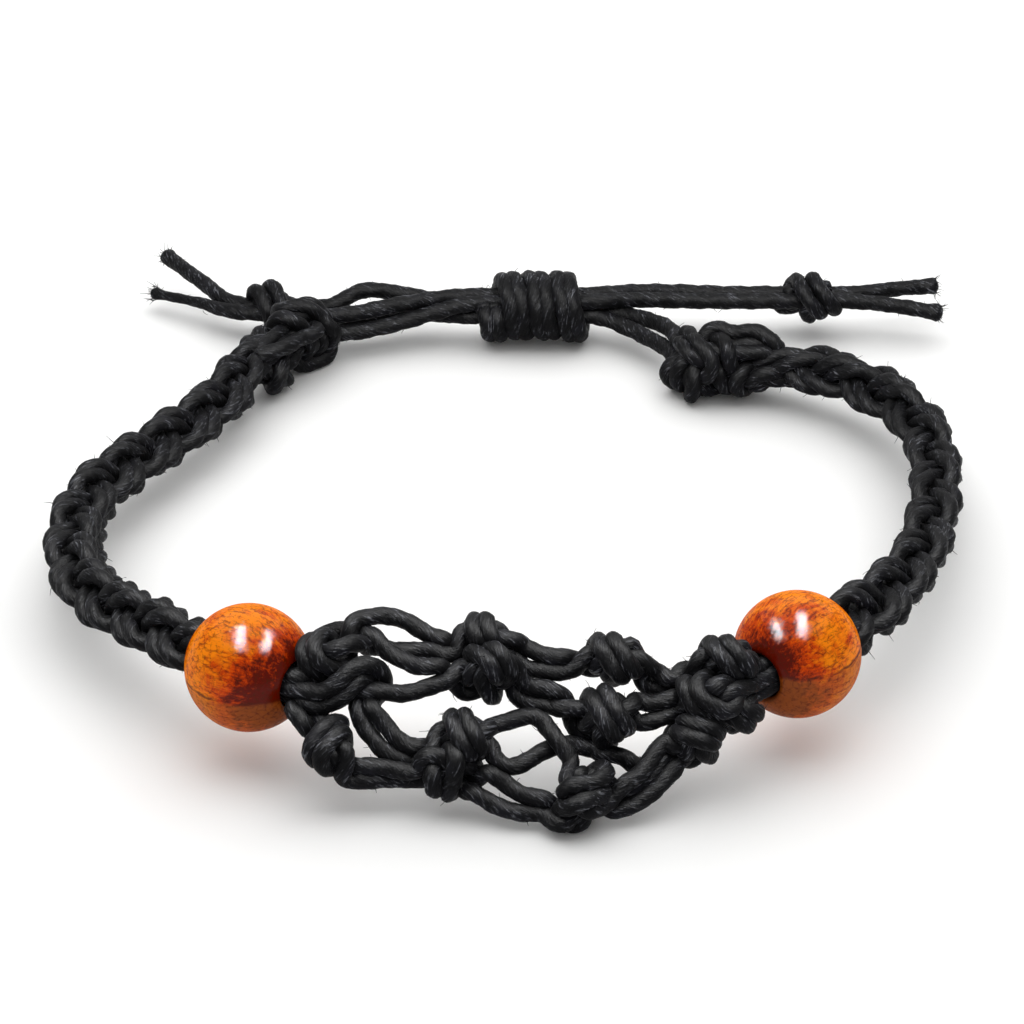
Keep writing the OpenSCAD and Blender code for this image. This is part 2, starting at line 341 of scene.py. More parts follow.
def add_node(tree: NodeTree, kind: str, inputs: dict | None = None,
             stops: Sequence[tuple[float, str]] = (), **settings: object) -> Node:
    """Adds a node with its settings and links.

    Args:
        tree: the node tree.
        kind: the shader node's type.
        inputs: its inputs, as `wire` takes them.
        stops: for a colour ramp, the position and sRGB hex colour of each stop.
        **settings: the node's own properties.

    Returns:
        The node.
    """
    node = tree.nodes.new(f"ShaderNode{kind}")
    for name, value in settings.items():
        setattr(node, name, value)
    wire(tree, node, inputs or {})
    for number, (position, code) in enumerate(stops):
        points = node.color_ramp.elements
        point = points[number] if number < len(points) else points.new(position)
        point.position, point.color = position, srgb(code)
    return node


def new_material(name: str) -> tuple[Material, NodeTree, Node]:
    """Starts a material with only its shader and output.

    Args:
        name: the material's name.

    Returns:
        The material, its node tree and its Principled shader.
    """
    material = bpy.data.materials.new(name)
    material.use_nodes = True
    tree = material.node_tree
    tree.nodes.clear()
    shader = add_node(tree, "BsdfPrincipled")
    add_node(tree, "OutputMaterial", {"Surface": shader})
    return material, tree, shader


@dataclass(frozen=True)
class WaxedCotton:
    """Waxed cotton cord, dyed black, twisted from three plies and polished by handling.

    The waxed cotton is a near-black charcoal with a soft sheen that the fibres break up. Its short
    grey flecks along the fibres are painted glints: highlights put into the colour where the waxed
    fibres would catch the light. The fibres are drawn about five times as coarse as real ones, so
    that they show. All of it follows the cord's twist, through the mesh's attribute `lay`.
    """

    name: str = "waxed_cotton_cord"
    dark: str = "#040406"
    body: str = "#08080b"
    worn: str = "#131319"
    painted_glint: str = "#86888f"
    roughness: float = 0.5
    shine: float = 0.065
    fibre_across_mm: float = 0.17
    fibre_along_mm: float = 0.62
    fibre_deep_mm: float = 0.1
    patch_mm: float = 1.6
    patch_deep_mm: float = 0.18

    def make(self) -> Material:
        """Builds the material.

        Returns:
            The material.
        """
        material, tree, shader = new_material(self.name)
        add = partial(add_node, tree)
        lay = add("Attribute", attribute_name="lay").outputs["Vector"]
        drawn_out = (1, 1, self.fibre_across_mm / self.fibre_along_mm)
        stretch = add("VectorMath", {0: lay, 1: drawn_out}, operation="MULTIPLY")
        fibres = add("TexNoise", {"Vector": stretch, "Scale": 1 / self.fibre_across_mm, "Detail": 3.0,
                                  "Roughness": 0.65, "Distortion": 0.4})
        patches = add("TexNoise", {"Vector": lay, "Scale": 1 / self.patch_mm, "Detail": 4.0,
                                   "Roughness": 0.65})
        tone = add("ValToRGB", {"Fac": patches}, [(0.34, self.dark), (0.5, self.body), (0.68, self.worn)])
        # Painted glints: grey flecks along the fibres, mixed into the colour within the lighter patches,
        # stand in for highlights
        painted_glint = add("MapRange", {"Value": fibres, "From Min": 0.56, "From Max": 0.72, "To Max": 0.85})
        where = add("MapRange", {"Value": patches, "From Min": 0.44, "From Max": 0.62, "To Min": 0.12})
        painted_glint_mask = add("Math", {0: painted_glint, 1: where}, operation="MULTIPLY")
        colour = add("Mix", {"Factor": painted_glint_mask, "A": tone, "B": srgb(self.painted_glint)}, data_type="RGBA")
        rough = add("MapRange", {"Value": fibres, "To Min": self.roughness + 0.1,
                                 "To Max": self.roughness - 0.14})
        lumps = add("Bump", {"Height": patches, "Strength": 0.5, "Distance": self.patch_deep_mm * MM})
        threads = add("Bump", {"Height": fibres, "Strength": 1.0, "Distance": self.fibre_deep_mm * MM,
                               "Normal": lumps})
        wire(tree, shader, {"Base Color": colour, "Roughness": rough, "Normal": threads, "IOR": 1.45,
                            "Specular IOR Level": self.shine, "Sheen Weight": 0.02,
                            "Sheen Roughness": 0.5})
        return material


@dataclass(frozen=True)
class LacqueredWood:
    """Turned hardwood, stained orange and dipped in clear lacquer.

    The stain sits unevenly, from amber to a dark red, and is darkest and reddest on one side, given
    for each bead, towards the net's knots and the camera: partly uneven stain and partly painted shade,
    where the knots and the bead's lower front lie in shade. Below a dark line round the bead the colour
    is browner; the line and the browner colour are a painted reflection of the floor and the edge of its
    shadow in the lacquer. Pores and fine cracks in the lacquer show dark, drawn about three times as
    coarse as real ones, and the lacquer gives small sharp highlights, which its dimples break up. The
    grain runs along the bead's hole.
    """

    name: str
    middle: Triple
    grain: Triple
    stain_and_shade_side: Triple
    reflection_line_height: float
    seed: float
    amber: str = "#ee8006"
    orange: str = "#c63e00"
    red: str = "#5e0e00"
    reflected_floor_tint: str = "#a0561e"
    pore_crack_and_reflection_line: str = "#4a1a06"
    coat_roughness: float = 0.06
    blotch_mm: float = 2.7778
    deep_mm: float = 4.0
    pore_mm: float = 0.2222
    pore_along_mm: float = 1.01
    line_mm: float = 0.16
    line_wander_mm: float = 0.9
    line_patch_mm: float = 2.0
    crack_mm: float = 0.5263
    crack_bend_mm: float = 0.8333
    dimple_mm: float = 0.1818

    def make(self) -> Material:
        """Builds the material.

        Returns:
            The material.
        """
        material, tree, shader = new_material(self.name)
        add = partial(add_node, tree)
        middle = tuple(m * MM for m in self.middle)
        centred = add("VectorMath", {0: add("TexCoord").outputs["Object"], 1: middle}, operation="SUBTRACT")
        turn = Vector(self.grain).rotation_difference(Vector((0, 0, 1))).to_euler()
        own = add("Mapping", {"Vector": centred, "Rotation": turn, "Scale": (1 / MM,) * 3,
                              "Location": (self.seed, 0, 0)})
        drawn_out = (1, 1, self.pore_mm / self.pore_along_mm)
        along = add("VectorMath", {0: own, 1: drawn_out}, operation="MULTIPLY")
        blotch = add("TexNoise", {"Vector": own, "Scale": 1 / self.blotch_mm, "Detail": 6.0,
                                  "Roughness": 0.72, "Distortion": 0.6})
        fine = add("TexNoise", {"Vector": along, "Scale": 1 / self.pore_mm, "Detail": 4.0, "Roughness": 0.7})

        # The stain, darker and redder on one side: partly uneven stain, partly painted shade on the side by
        # the net's knots and towards the camera.
        deeper = tuple(unit(self.stain_and_shade_side) / (self.deep_mm * MM))
        facing = add("VectorMath", {0: centred, 1: deeper}, operation="DOT_PRODUCT")
        inward = add("MapRange", {"Value": facing, "From Min": 0.2, "To Max": 0.4})
        uneven = add("Math", {0: blotch, 1: inward}, operation="SUBTRACT")
        grained = add("Math", {0: fine, 1: 0.45, 2: uneven}, operation="MULTIPLY_ADD")
        stain = add("ValToRGB", {"Fac": grained}, [(0.42, self.red), (0.58, self.orange), (0.78, self.amber)])

        # A painted reflection: a dark line, which comes and goes, for the edge of the floor's shadow mirrored
        # in the lacquer, and browner colour below it for the floor's reflection.
        height = add("SeparateXYZ", {"Vector": centred}).outputs["Z"]
        wander = add("Math", {0: blotch, 1: self.line_wander_mm * MM, 2: height}, operation="MULTIPLY_ADD")
        level = (self.reflection_line_height + self.line_wander_mm / 2) * MM
        under = add("MapRange", {"Value": wander, "From Min": level, "From Max": level - 0.3 * MM,
                                 "To Max": 0.55})
        off = add("Math", {0: wander, 1: level}, operation="SUBTRACT")
        away = add("Math", {0: off}, operation="ABSOLUTE")
        edge = add("MapRange", {"Value": away, "From Min": 0.05 * MM, "From Max": self.line_mm * MM,
                                "To Min": 0.85, "To Max": 0.0})
        comes = add("TexNoise", {"Vector": own, "Scale": 1 / self.line_patch_mm})
        patchy = add("MapRange", {"Value": comes, "From Min": 0.42, "From Max": 0.56})
        painted_reflection_line = add("Math", {0: edge, 1: patchy}, operation="MULTIPLY")

        # Pores, and fine cracks where the lacquer is worn.
        pores = add("ValToRGB", {"Fac": fine}, [(0.36, "#a0a0a0"), (0.48, "#000000")])
        bend = add("TexNoise", {"Vector": own, "Scale": 1 / self.crack_bend_mm, "Detail": 2.0})
        bent = add("Mix", {"Factor": 0.3, "A": own, "B": bend.outputs["Color"]}, data_type="RGBA",
                   blend_type="ADD")
        cell = add("TexVoronoi", {"Vector": bent, "Scale": 1 / self.crack_mm}, feature="DISTANCE_TO_EDGE")
        crack = add("MapRange", {"Value": cell, "From Max": 0.12, "To Min": 0.7, "To Max": 0.0})
        worn = add("MapRange", {"Value": fine, "From Min": 0.4, "From Max": 0.6, "To Min": 1.0,
                                "To Max": 0.0})
        flawed = add("Math", {0: crack, 1: worn}, operation="MULTIPLY")

        # Mixes in the painted reflection (browner colour below the line, and the dark line itself), then the
        # real pores and cracks.
        colour = stain
        for where, code in (under, self.reflected_floor_tint), (painted_reflection_line, self.pore_crack_and_reflection_line), (flawed, self.pore_crack_and_reflection_line), (pores, self.pore_crack_and_reflection_line):
            colour = add("Mix", {"Factor": where, "A": colour, "B": srgb(code)}, data_type="RGBA")
        bump = add("Bump", {"Height": fine, "Strength": 0.15, "Distance": 0.1 * MM})
        dimples = add("TexNoise", {"Vector": own, "Scale": 1 / self.dimple_mm, "Detail": 2.0,
                                   "Roughness": 0.55})
        wavy = add("Bump", {"Height": dimples, "Strength": 0.6, "Distance": 0.04 * MM})
        wire(tree, shader, {"Base Color": colour, "Roughness": 0.5, "IOR": 1.5, "Specular IOR Level": 0.0,
                            "Normal": bump, "Coat Weight": 0.22, "Coat Roughness": self.coat_roughness,
                            "Coat Normal": wavy})
        return material


@dataclass(frozen=True)
class MattPaper:
    """White matt paper, which gives a plain pale floor."""

    name: str = "matt_paper"
    colour: str = "#f4f4f3"

    def make(self) -> Material:
        """Builds the material.

        Returns:
            The material.
        """
        material, tree, shader = new_material(self.name)
        wire(tree, shader, {"Base Color": srgb(self.colour), "Roughness": 0.9, "Specular IOR Level": 0.1})
        return material


# ---- Meshes ----

@dataclass(frozen=True)
class Ply:
    """How a cord is made up: its diameter, its three plies' twist and how uneven it is.

    Each wave of the unevenness has its strength, its radians a millimetre, how many times it goes round
    the cord, and how much it moves from cord to cord.
    """

    d: float = 1.18
    plies: int = 3
    twist: float = 7.0
    groove: float = 0.025
    uneven: float = 0.035
    waves: tuple[tuple[float, float, int, int], ...] = (
        (1.0, 2.9, 2, 5), (0.8, 6.1, -3, 3), (0.5, 11.3, 5, 1))
    around: int = 18
    step: float = 0.22
    end_round: float = 0.3
    end_flat: float = 0.12


@dataclass(frozen=True)
class StrayFibre:
    """A fibre that stands off a cord, drawn about three times as thick as a real one."""

    r: float = 0.035
    taper: float = 0.6
    root: float = 0.42
    lean: float = 0.9
    bow: float = 0.35
    shortest: float = 0.4
    longest: float = 1.5
    off_floor: float = 0.03
    rings: int = 6
    corners: tuple[float, ...] = (0, 2.1, 4.2)


class Skein:
    """Gathers cords into one mesh, with each point's place in the cord's lay."""

    def __init__(self, ply: Ply) -> None:
        """Starts an empty skein.

        Args:
            ply: the kind of cord.
        """
        self.ply = ply
        self.verts: list[Points] = []
        self.faces: list[tuple[int, ...]] = []
        self.lay: list[Points] = []
        self.count = 0

    def cord(self, line: Points, phase: float, width: Points | None = None) -> None:
        """Adds a cord along a line, with closed ends.

        Args:
            line: the places that its middle runs through.
            phase: where its plies start round it, in radians.
            width: its diameter over the ply's at each place of the line, or None for 1.
        """
        ply = self.ply
        at = lengths(line)
        rings = max(4, round(at[-1] / ply.step) + 1)
        s = np.linspace(0, at[-1], rings)
        p = place(line, s)
        wide = np.ones(rings) if width is None else np.interp(s, at, width)
        n = sides_along(p)
        w = np.cross(headings(p), n)
        angle = np.linspace(0, 2 * math.pi, ply.around, endpoint=False)[None]
        lay_angle = angle - (2 * math.pi * s / ply.twist + phase)[:, None]
        lumps = sum(strong * np.sin(along * s[:, None] + times * angle + moved * phase)
                    for strong, along, times, moved in ply.waves)
        r = ply.d / 2 * wide[:, None] * (1 + ply.groove * np.cos(ply.plies * lay_angle) + ply.uneven * lumps)
        end = np.minimum(s, s[-1] - s) / (ply.end_round * ply.d)
        r = r * np.sqrt(np.clip(1 - (1 - np.clip(end, 0, 1)) ** 2, ply.end_flat, 1))[:, None]
        ring = p[:, None] + r[..., None] * (np.cos(angle)[..., None] * n[:, None]
                                            + np.sin(angle)[..., None] * w[:, None])
        base, around = self.count, ply.around
        self.verts.append(ring.reshape(-1, 3))
        fibre = np.broadcast_to((s + 37.0 * phase)[:, None], lay_angle.shape)  # no two cords start alike
        self.lay.append(np.stack([ply.d / 2 * np.cos(lay_angle), ply.d / 2 * np.sin(lay_angle), fibre],
                                 -1).reshape(-1, 3))
        i, k = np.meshgrid(np.arange(rings - 1), np.arange(around), indexing="ij")
        k1 = (k + 1) % around
        quads = np.stack([base + i * around + k, base + i * around + k1, base + (i + 1) * around + k1,
                          base + (i + 1) * around + k], -1).reshape(-1, 4)
        self.faces.extend(map(tuple, quads.tolist()))
        self.faces.append(tuple(range(base + around - 1, base - 1, -1)))
        self.faces.append(tuple(range(base + (rings - 1) * around, base + rings * around)))
        self.count += rings * around

    def hairs(self, line: Points, number: int, long: float, seed: int, ahead: float = 0.0) -> None:
        """Adds stray fibres along a cord.

        Args:
            line: the places that the cord's middle runs through.
            number: how many fibres.
            long: about how long they are.
            seed: what their places and bends are drawn from.
            ahead: how far they lean along the cord.
        """
        fibre = StrayFibre()
        rng = np.random.default_rng(seed)
        t, n = headings(line), sides_along(line)
        f = np.linspace(0, 1, fibre.rings)[:, None]
        r, sides = fibre.r * (1 - fibre.taper * f), len(fibre.corners)
        for at in rng.integers(1, len(line) - 1, number):
            a, lean = rng.uniform(0, 2 * math.pi), rng.normal(ahead, fibre.lean)
            size = long * rng.uniform(fibre.shortest, fibre.longest)
            out = math.cos(a) * n[at] + math.sin(a) * np.cross(t[at], n[at])
            bow = rng.normal(0, fibre.bow, 3)
            p = line[at] + out * self.ply.d * fibre.root + size * (f * unit(out + lean * t[at]) + f * f * bow)
            if p[:, 2].min() < fibre.off_floor:
                continue
            side = unit(np.cross(p[-1] - p[0], (0.3, 0.5, 0.8)))
            lift = unit(np.cross(p[-1] - p[0], side))
            ring = np.stack([p + r * (math.cos(b) * side + math.sin(b) * lift) for b in fibre.corners], 1)
            base, tip = self.count, self.count + (fibre.rings - 1) * sides
            self.verts.append(ring.reshape(-1, 3))
            self.lay.append(np.full((fibre.rings * sides, 3), 0.3 * seed + a))
            self.faces.extend((low + k, low + (k + 1) % sides, low + sides + (k + 1) % sides,
                               low + sides + k) for low in range(base, tip, sides) for k in range(sides))
            self.faces += [tuple(range(base, base + sides))[::-1], tuple(range(tip, tip + sides))]
            self.count += fibre.rings * sides

    def piece(self, name: str, material: Material, *nodes: str) -> Object:
        """Args:
            name: its name.
            material: its material.
            *nodes: the solids that it replaces.

        Returns:
            The piece.
        """
        mesh = bpy.data.meshes.new(name)
        mesh.from_pydata((np.concatenate(self.verts) * MM).tolist(), [], self.faces)
        mesh.polygons.foreach_set("use_smooth", [True] * len(mesh.polygons))
        lay = mesh.attributes.new("lay", "FLOAT_VECTOR", "POINT")
        lay.data.foreach_set("vector", np.concatenate(self.lay).astype(np.float32).ravel())
        mesh.materials.append(material)
        return declared(linked(name, mesh), Slot.CORD, *nodes)


def linked(name: str, data: Mesh | Light | Camera) -> Object:
    """Links a new object to the scene.

    Args:
        name: its name.
        data: its mesh, light or camera.

    Returns:
        The object.
    """
    obj = bpy.data.objects.new(name, data)
    bpy.context.scene.collection.objects.link(obj)
    return obj


def declared(obj: Object, slot: Slot, *nodes: str) -> Object:
    """Declares what a piece rides on and stands for.

    Args:
        obj: the piece.
        slot: the record's material slot; not used.
        *nodes: the solids that it replaces.

    Returns:
        The piece.
    """
    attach(obj, BODY)
    if nodes:
        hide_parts(*nodes)
    log.info("%s: %d faces, for %s", obj.name, len(obj.data.polygons), ", ".join(nodes) or "no solid")
    return obj


# ---- Camera, light and floor ----

@dataclass(frozen=True)
class Lamp:
    """An area lamp: where it hangs, what it points at, its width and depth, and its power in watts.

    A lamp for glints alone shows in the lacquer and on the waxed cords, and doesn't light what lies under it.
    """

    name: str
    at: Triple
    to: Triple
    size: tuple[float, float]
    watts: float
    glints_alone: bool = False

    def build(self) -> None:
        """Hangs the lamp."""
        data = bpy.data.lights.new(self.name, "AREA")
        data.shape, data.energy = "RECTANGLE", self.watts
        data.size, data.size_y = (side * MM for side in self.size)
        lamp = linked(self.name, data)
        lamp.location = [c * MM for c in self.at]
        lamp.rotation_euler = (Vector(self.at) - Vector(self.to)).to_track_quat("Z", "Y").to_euler()
        lamp.visible_diffuse = not self.glints_alone


@dataclass
class Studio:
    """The camera at the photographed angle, a pale floor and soft light from above."""

    camera_place: Triple = (0.0, -213.06, 136.48)
    camera_pitch: float = 58.0
    lens: float = 119.18
    sensor: float = 36.0
    floor_reach: float = 900.0
    room_light: float = 0.5
    lamps: tuple[Lamp, ...] = (
        Lamp("soft_box", (0, 240, 490), (0, 0, 0), (1100, 1100), 5.9),
        Lamp("strip_left", (-32, -26, 80), (-32, -26, 0), (14, 60), 0.38, glints_alone=True),
        Lamp("strip_right", (26, -26, 80), (26, -26, 0), (14, 60), 0.38, glints_alone=True))

    def build(self) -> None:
        """Makes the camera, the floor and the lights."""
        scene = bpy.context.scene
        data = bpy.data.cameras.new("camera")
        data.lens, data.sensor_width, data.sensor_fit = self.lens, self.sensor, "HORIZONTAL"
        data.clip_start, data.clip_end = 0.01, 10.0
        camera = linked("camera", data)
        camera.location = [c * MM for c in self.camera_place]
        camera.rotation_euler = (math.radians(self.camera_pitch), 0, 0)
        scene.camera = camera
        scene.view_settings.view_transform = "Standard"

        r = self.floor_reach * MM
        mesh = bpy.data.meshes.new("floor")
        mesh.from_pydata([(-r, -r, 0), (r, -r, 0), (r, r, 0), (-r, r, 0)], [], [(0, 1, 2, 3)])
        mesh.materials.append(MattPaper().make())
        linked("floor", mesh)

        scene.world = bpy.data.worlds.new("soft_room")
        scene.world.use_nodes = True
        tree = scene.world.node_tree
        wire(tree, tree.nodes["Background"], {"Color": srgb("#ffffff"), "Strength": self.room_light})
        for lamp in self.lamps:
            lamp.build()


# ---- The bracelet ----

# The middle line of each half, from the net through the bead and the braid to the end knot.
HALF_LINES = {
    Side.LEFT: [
        [-13.9, -27.5, 6.8], [-17.7, -25.1, 6.7], [-21.7, -22.5, 6.6], [-24.3, -19.5, 6.1],
        [-26.6, -17.0, 5.6], [-29.1, -13.9, 5.1], [-30.9, -10.1, 4.7], [-31.7, -5.4, 4.3],
        [-31.6, -0.9, 4.0], [-30.7, 2.8, 3.8], [-28.9, 6.4, 3.6], [-26.6, 10.0, 3.5], [-24.3, 13.7, 3.4],
        [-22.4, 17.4, 3.3], [-21.6, 20.5, 3.1], [-21.2, 22.5, 3.0]],
    Side.RIGHT: [
        [16.5, -26.4, 6.8], [19.3, -23.5, 6.7], [22.4, -20.3, 6.6], [25.0, -17.2, 6.2], [27.2, -13.4, 5.8],
        [29.3, -8.6, 5.3], [30.9, -2.4, 4.9], [31.7, 3.6, 4.6], [31.6, 9.4, 4.3], [30.3, 14.2, 4.1],
        [27.9, 18.0, 3.8], [24.6, 20.9, 3.5], [21.7, 22.3, 3.0]]}

# The middle of each free cord, from its end knot to its tip.
DRAWCORDS = {
    "drawcord_left_1": [
        [-15.2, 28.8, 2.4], [-12.4, 29.3, 2.4], [-9.2, 30.2, 2.7], [-6.3, 31.1, 3.2], [-3.6, 31.6, 3.7],
        [-0.6, 31.8, 3.7], [2.0, 31.8, 3.7], [4.6, 31.8, 3.7], [7.2, 31.9, 3.8], [10.4, 32.7, 3.5],
        [14.0, 33.1, 3.2], [18.0, 33.0, 3.2], [21.0, 33.0, 3.2], [27.8, 33.0, 3.2], [31.5, 32.6, 3.0],
        [35.4, 31.8, 2.7]],
    "drawcord_left_2": [
        [-15.6, 29.5, 3.6], [-12.6, 30.1, 3.7], [-9.4, 31.1, 3.9], [-6.4, 32.1, 3.9], [-3.6, 32.8, 3.8],
        [-0.6, 33.0, 3.7], [2.0, 33.0, 3.7], [4.6, 33.0, 3.7], [7.2, 33.1, 3.8], [10.4, 33.9, 3.6],
        [14.0, 34.4, 3.3], [18.0, 34.3, 3.2], [21.0, 34.3, 3.2], [27.8, 34.3, 3.2], [31.5, 34.7, 3.4],
        [35.3, 35.0, 3.6]],
    "drawcord_right_1": [
        [13.2, 24.5, 2.4], [12.6, 26.3, 2.4], [11.4, 28.2, 2.2], [9.6, 30.1, 2.2], [7.4, 31.6, 2.4],
        [4.8, 31.8, 2.5], [2.0, 31.8, 2.5], [-0.8, 31.8, 2.5], [-3.6, 31.9, 2.4], [-6.4, 32.6, 2.2],
        [-9.4, 32.5, 2.2], [-12.6, 31.5, 2.4], [-15.9, 31.8, 2.5], [-22.9, 32.9, 2.3], [-26.0, 35.0, 2.0],
        [-30.2, 37.6, 1.5]],
    "drawcord_right_2": [
        [13.3, 25.2, 3.6], [13.2, 27.0, 3.4], [12.4, 29.2, 3.0], [10.8, 31.1, 2.6], [8.0, 32.7, 2.5],
        [4.8, 33.0, 2.5], [2.0, 33.0, 2.5], [-0.8, 33.0, 2.5], [-3.6, 33.2, 2.5], [-6.4, 33.9, 2.8],
        [-9.4, 34.2, 3.3], [-12.4, 33.9, 3.7], [-15.6, 33.1, 2.6], [-22.7, 34.2, 2.3], [-25.8, 37.2, 2.7],
        [-29.3, 41.4, 3.1]]}


@dataclass
class Drawcords:
    """The four free cords: from an end knot, through the sliding knot and a tail knot, to a cut end.

    Each thins towards its tip and flares where it is cut; `tip_places` are lengths back from the tip.
    """

    ply: Ply = Ply(d=1.32)
    thinned: float = 0.95
    worn_cord: str = "drawcord_right_1"
    worn_thinned: float = 0.62
    tip_places: tuple[float, ...] = (9, 4, 1.3, 0.3, 0)

    def build(self, cotton: Material, tail_knots: Sequence[Object]) -> None:
        """Args:
            cotton: the cord's material.
            tail_knots: the knot on the two cords from the left, and the one on those from the right; not
                used.
        """
        lines = [evenly(smooth(route), 0.4) for route in DRAWCORDS.values()]
        stray = Skein(self.ply)
        for number, line in enumerate(lines):
            stray.hairs(line, 60, 0.4, seed=number)
            stray.hairs(line[-3:], 40, 0.45, seed=9 + number, ahead=2.2)
        fibres = stray.piece("drawcord_fibres", cotton)
        for number, (name, line) in enumerate(zip(DRAWCORDS, lines)):
            thin = self.worn_thinned if name == self.worn_cord else self.thinned
            at = lengths(line)
            width = np.interp(at, at[-1] - np.array(self.tip_places), [1, thin, thin, thin + 0.2, thin + 0.1])
            skein = Skein(self.ply)
            skein.cord(line, phase=1.7 * number, width=width)
            piece = skein.piece(f"{name}_cord", cotton, name)


@dataclass
class Braid:
    """A round braid of four strands, each a pair of cords side by side.

    The strands' pitch and how far they swing out change along the braid, from the bead to the knot.
    Two strands swing across it and two up and down, and each dives under the others in between.
    """

    side: Side
    into_knot: Triple
    pitches: tuple[float, ...]
    swings: tuple[float, ...]
    turn: float
    start: float
    ply: Ply = Ply(d=1.16)
    dive: float = 0.42
    square: float = 1.2
    pair: float = 0.75
    press: float = 0.78
    step: float = 0.45
    in_bead: float = 1.6
    opens_over: float = 2.6
    closes_over: float = 3.5
    hole_width: float = 0.62
    knot_width: float = 0.8

    def lays(self, line: Points, bare: float, start: float) -> tuple[list[Lay], Points]:
        """Lays out the eight cords, before they settle.

        Args:
            line: the braid's middle.
            bare: where it leaves the bead, along the line.
            start: where the strands start, along the line.

        Returns:
            The cords, two for each strand, and the middle's places beside theirs.
        """
        whole = lengths(line)[-1]
        s = np.linspace(start, whole, round((whole - start) / self.step) + 1)
        middle = place(line, s)
        t = headings(middle)
        flat = np.cross(FACING, t)
        flat /= np.linalg.norm(flat, axis=1)[:, None]
        c, d = math.cos(math.radians(self.turn)), math.sin(math.radians(self.turn))
        across, lift = c * flat + d * np.cross(t, flat), c * np.cross(t, flat) - d * flat
        f = (s - bare) / (whole - bare)
        pitch = np.interp(f, np.linspace(0, 1, len(self.pitches)), self.pitches)
        swing = np.interp(f, np.linspace(0, 1, len(self.swings)), self.swings)[:, None]
        turns = np.concatenate([[0], np.cumsum(np.diff(s) * (1 / pitch[1:] + 1 / pitch[:-1]) / 2)])
        opened = np.clip((s - start) / self.opens_over, 0, 1)
        closed = np.clip((whole - s) / self.closes_over, 0, 1)
        spread = ((self.hole_width + (1 - self.hole_width) * opened)
                  * (self.knot_width + (1 - self.knot_width) * closed))[:, None]
        lays = []
        for number in range(4):
            phase = 2 * np.pi * turns + self.start + math.pi / 4 + math.pi * (number % 2)
            x, y = np.cos(phase)[:, None], np.sin(phase)[:, None]
            if number < 2:
                x = np.tanh(self.square * x) / math.tanh(self.square)
                wide, high = swing, self.dive
            else:
                y = -np.tanh(self.square * y) / math.tanh(self.square)
                wide, high = self.dive, swing
            core = middle + spread * (wide * x * across + high * y * lift)
            side = np.cross(high * x * across + wide * y * lift, headings(core))
            side /= np.linalg.norm(side, axis=1)[:, None]
            for half in (-0.5, 0.5):
                hold = np.full(len(s), 0.12)
                hold[:3] = hold[-2:] = 1
                lays.append(Lay(core + half * self.pair * self.ply.d * spread * side, hold))
        return lays, middle

    def build(self, cotton: Material) -> None:
        """Lets the eight cords settle and makes the four strands.

        Args:
            cotton: the cord's material.
        """
        half_line = HALF_LINES[self.side]
        line = smooth([*half_line, self.into_knot])
        bare = float(np.linalg.norm(np.subtract(half_line[1], half_line[0]))) + BEAD_D / 2
        start = bare - self.in_bead
        lays, middle = self.lays(line, bare, start)
        cords = settle(lays, self.ply.d * self.press, 80, bend=0.1, pull=0.3)
        inside = place(line, np.linspace(bare - 5.5, start - 0.8, 5))
        for number in range(4):
            skein = Skein(self.ply)
            for half, cord in enumerate(cords[2 * number:2 * number + 2]):
                run = np.concatenate([inside + (cord[0] - middle[0]) * 0.8, cord])
                skein.cord(eased(run, 0.8), phase=1.3 * number + 0.7 * half)
                skein.hairs(cord, 70, 0.4, seed=100 + 2 * number + half)
            node = f"braid_{self.side.value}_strand_{number + 1}"
            skein.piece(f"{node}_pair", cotton, node)


@dataclass
class TiedKnot:
    """An overhand knot tied with a flat band of cords: at a braid's end, or near the drawcords' tips."""

    name: str
    middle: Triple
    axis: Triple
    roll: float
    size: Triple
    reach: float
    ply: Ply = Ply(d=1.22)
    press: float = 0.84
    gathered: float = 0.3
    gathered_over: int = 5

    def build(self, cotton: Material, knot: list[Points]) -> Object:
        """Puts the tied knot in its place, draws its tails together and lets its cords settle.

        Args:
            cotton: the cord's material.
            knot: the knot's cords, as tied along X.

        Returns:
            The piece.
        """
        lays = []
        for p in knot:
            p = near_middle(p, self.reach)
            inward = np.minimum(np.arange(len(p)), np.arange(len(p))[::-1]) / self.gathered_over
            p = p * np.stack([np.ones(len(p)), *[np.clip(self.gathered + inward, 0, 1)] * 2], 1)
            line = turned(p, np.array(self.axis), FACING, self.roll, np.array(self.middle), self.size)
            lays.append(Lay(line, np.full(len(line), 0.3)))
        cords = settle(lays, self.ply.d * self.press, 60, bend=0.1, pull=0.25, floor=self.ply.d / 2)
        skein = Skein(self.ply)
        for number, line in enumerate(cords):
            skein.cord(eased(line), phase=number)
            skein.hairs(line, 14, 0.4, seed=31 * number + len(self.name))
        return skein.piece(f"{self.name}_wraps", cotton, self.name)


